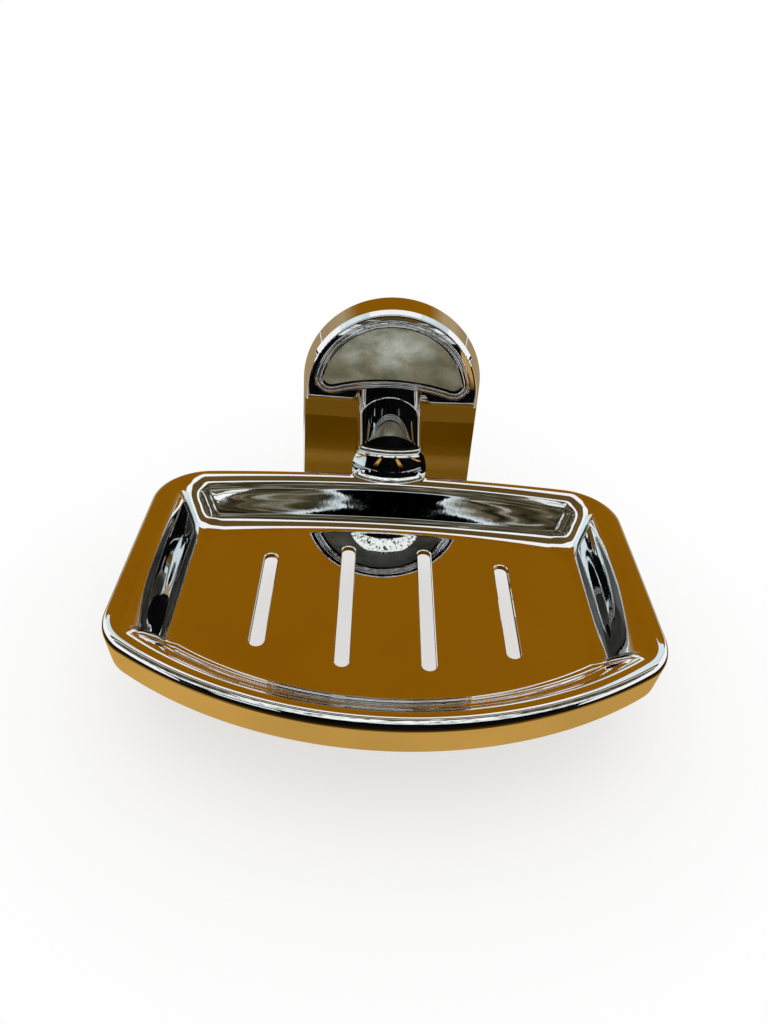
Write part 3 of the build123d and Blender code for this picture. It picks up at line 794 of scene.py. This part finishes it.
def tray_bosses(material):
    """The two round bosses under the rear rim that take the tray's screws."""
    bosses = []
    for place in boss_places:
        centre = Vector((place, -tray_rear - boss_setback, 0))
        layers = []
        for height in (boss_foot, boss_top):
            layers.append([Vector((x, y, height)) + centre for x, y in circle(boss_radius)])
        boss = closed_stack("tray_boss", layers, material)
        face_outwards(boss)
        smooth_but_for_edges(boss)
        bosses.append(boss)
    return bosses


def tray(material):
    """The cast tray as one fine surface, so that its mirror finish runs smoothly."""
    layers = []
    for outline, height in tray_rings():
        layer = [Vector((point.x, point.y, height)) for point in outline_points(outline)]
        if height > rim_underside:
            for point in layer:
                point.z += collar_height(point.x, point.y)
        layers.append(layer)
    body = closed_stack("cast_tray", layers, material)
    face_outwards(body)
    cutters = []
    for side in (-slot_spacing, slot_spacing):
        cutters.append(slot_cutter(side / 2, inner_slot_start, inner_slot_length))
        cutters.append(slot_cutter(side * 3 / 2, outer_slot_start, outer_slot_length))
    cut(body, cutters + knuckle_cutters())
    smooth_but_for_edges(body)
    for piece in [body] + tray_bosses(material):
        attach(piece, "dish")
        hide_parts("soap_tray")


# Studio

def emitting(name):
    """A material with an empty node tree."""
    material = bpy.data.materials.new(name)
    material.use_nodes = True
    material.node_tree.nodes.clear()
    return material, material.node_tree


def shine(tree, colour):
    """Gives off a colour as light."""
    light = tree.nodes.new("ShaderNodeEmission")
    out = tree.nodes.new("ShaderNodeOutputMaterial")
    tree.links.new(colour, light.inputs["Color"])
    tree.links.new(light.outputs[0], out.inputs["Surface"])


def glow(name, stops, scale=soft_scale, detail=soft_detail, stretch=(1, 1, 1)):
    """A card's light: colours mixed by a soft pattern over the card."""
    material, tree = emitting(name)
    shine(tree, ramp(tree, noise(tree, scale, detail, stretch), stops))
    return material


def amber_glow():
    """Amber, but tan low down on both sides."""
    material, tree = emitting("amber_backdrop")
    inner = ramp(tree, noise(tree, soft_scale, soft_detail), amber)
    outer = ramp(tree, noise(tree, soft_scale, soft_detail), tan)
    x, _, z = parts_of_place(tree)
    sideways = grey_ramp(tree, math(tree, "ABSOLUTE", x), 0.0, 1.0, *tan_sideways)
    low = grey_ramp(tree, z, 1.0, 0.0, *tan_upwards)
    shine(tree, blend(tree, math(tree, "MULTIPLY", sideways, low), inner, outer))
    return material


def dusk_glow():
    """Dusky ceiling with a black shape in it, rimmed with light."""
    material, tree = emitting("dusk_ceiling")
    shares = []
    for value, centre, half in zip(parts_of_place(tree), shape_centre, shape_half):
        shares.append(math(tree, "DIVIDE", math(tree, "SUBTRACT", value, centre), half))
    width = math(tree, "ADD", math(tree, "MULTIPLY", shares[1], shape_taper), 1.0)
    shares[0] = math(tree, "DIVIDE", shares[0], width)
    powers = [math(tree, "POWER", math(tree, "ABSOLUTE", share), shape_power) for share in shares]
    away = math(tree, "MULTIPLY", math(tree, "ADD", *powers), shape_edge)
    sky = ramp(tree, noise(tree, scale=12, detail=2, distortion=2.0), dusk)
    own = grey_ramp(tree, away, 0.0, 1.0, *shape_fade)
    shine(tree, blend(tree, own, ramp(tree, away, shape_rim), sky))
    return material


def table_glow():
    """Below the dish: the tray's painted shade, a painted pool of light round it, dark farther off,
    tan behind.
    """
    material, tree = emitting("table")
    place = parts_of_place(tree)
    squares = []
    for value, centre, half in zip(place, tray_shade_centre, tray_shade_half):
        outside = math(tree, "ABSOLUTE", math(tree, "SUBTRACT", value, centre))
        outside = math(tree, "MAXIMUM", math(tree, "SUBTRACT", outside, half), 0.0)
        squares.append(math(tree, "POWER", outside, 2))
    away = math(tree, "SQRT", math(tree, "ADD", *squares))
    clouds = grey_ramp(tree, noise(tree, scale=12, detail=3), *table_cloud, start=0.3, end=0.7)
    cloudy = multiply(tree, ramp(tree, away, table_around), clouds)
    backwards = math(tree, "ADD", place[1], table_shift)
    behind = ramp(tree, backwards, table_backwards)
    fade = grey_ramp(tree, backwards, 0.0, 1.0, *table_behind_fade)
    shine(tree, blend(tree, fade, cloudy, behind))
    return material


def card(name, rows, material, radius=card_radius):
    """A card on a cylinder round the dish, along X; a row is an angle with its two ends."""
    points, faces = [], []
    for angle, first, last in rows:
        y = dish_centre.y + radius * cos(radians(angle))
        z = dish_centre.z + radius * sin(radians(angle))
        points += [(first, y, z), (last, y, z)]
    for low in range(0, 2 * len(rows) - 2, 2):
        faces.append((low, low + 1, low + 3, low + 2))
    hidden_from_all_but_mirrors(mesh_object(name, points, faces, material))


def sweep(name, band, reach, material, radius=card_radius):
    """A card as wide at its start as at its end."""
    angles = [band[0] + (band[1] - band[0]) * step / card_steps for step in range(card_steps + 1)]
    card(name, [(angle, *reach) for angle in angles], material, radius)


def level_sheet(name, half_width, near, far, height, material):
    """A level rectangle from near to far along the Y axis."""
    corners = ((-half_width, near), (half_width, near), (half_width, far), (-half_width, far))
    points = [(x, y, height) for x, y in corners]
    return mesh_object(name, points, [(0, 1, 2, 3)], material)


def arched_backdrop(name, edge, material):
    """A card that gets narrower upwards, along an edge given as angles and half widths."""
    rows = []
    for (start, low), (end, high) in zip(edge, edge[1:]):
        for step in range(card_steps):
            share = step / card_steps
            half = low + (high - low) * share
            rows.append((start + (end - start) * share, -half, half))
    rows.append((edge[-1][0], -edge[-1][1], edge[-1][1]))
    card(name, rows, material)


def studio():
    """What the mirror finish shows: all of it is seen in reflections only."""
    arched_backdrop("amber_backdrop", backdrop_edge, amber_glow())
    horizon = glow("horizon", beaded, scale=45, detail=1)
    sweep("horizon", horizon_band, horizon_reach, horizon, front_card_radius)
    sweep("brown_ceiling", brown_band, ceiling_reach, glow("brown_ceiling", brown))
    sweep("dusk_ceiling", dusk_band, ceiling_reach, dusk_glow())
    bright_ceiling = glow("bright_ceiling", bright, scale=14, detail=1)
    sweep("bright_ceiling", bright_band, ceiling_reach, bright_ceiling)
    sweep("dark_front", dark_front_band, dark_front_reach, glow("dark_front", black))
    lights = glow("side_light", sky_blue)
    dark = glow("dark_corner", black)
    for side in (-1, 1):
        reach = sorted(side * x for x in dark_corner_reach)
        sweep("dark_corner", dark_corner_band, reach, dark)
        reach = sorted(side * x for x in side_light_reach)
        sweep("side_light", side_light_band, reach, lights, front_card_radius)
    sweep("window", window_band, window_reach, lights, front_card_radius)
    for band, reach in streaks:
        streak = glow("streak", bright, scale=60, detail=1)
        sweep("streak", band, reach, streak, front_card_radius)
    height = cad_bounds[0][2] - floor_gap / 2
    table = level_sheet("table", table_half_width, table_near, table_far, height, table_glow())
    hidden_from_all_but_mirrors(table)
    beads = glow("light_bar", beaded, scale=95, detail=1, stretch=(1, 0.25, 1))
    place = (light_bar_half_width, light_bar_near, light_bar_far, light_bar_height)
    hidden_from_all_but_mirrors(level_sheet("light_bar", *place, beads))


def make_world():
    """A plain white surround."""
    world = bpy.data.worlds.new("world")
    bpy.context.scene.world = world
    world.use_nodes = True
    background = world.node_tree.nodes["Background"]
    background.inputs["Color"].default_value = (1, 1, 1, 1)
    background.inputs["Strength"].default_value = world_strength


def make_floor():
    """A pale floor that turns white for the camera and in mirrors, but keeps the dish's shadow."""
    material, tree = emitting("floor")
    paint = add(tree, "ShaderNodeBsdfDiffuse", Color=(floor_albedo, floor_albedo, floor_albedo, 1))
    lift = add(tree, "ShaderNodeEmission", Strength=1 - floor_albedo)
    both = tree.nodes.new("ShaderNodeAddShader")
    seen = tree.nodes.new("ShaderNodeMixShader")
    out = tree.nodes.new("ShaderNodeOutputMaterial")
    path = tree.nodes.new("ShaderNodeLightPath").outputs
    shown = math(tree, "ADD", path["Is Camera Ray"], path["Is Glossy Ray"])
    shown = math(tree, "ADD", shown, path["Is Transmission Ray"], clamp=True)
    tree.links.new(paint.outputs[0], both.inputs[0])
    tree.links.new(lift.outputs[0], both.inputs[1])
    tree.links.new(shown, seen.inputs[0])
    tree.links.new(paint.outputs[0], seen.inputs[1])
    tree.links.new(both.outputs[0], seen.inputs[2])
    tree.links.new(seen.outputs[0], out.inputs["Surface"])
    half = floor_size / 2
    level_sheet("floor", half, -half, half, cad_bounds[0][2] - floor_gap, material)


make_camera()
finishes = dress_nodes()
tray(finishes["polished_chrome"])
make_world()
make_floor()
studio()
bpy.context.scene.view_settings.view_transform = "Standard"
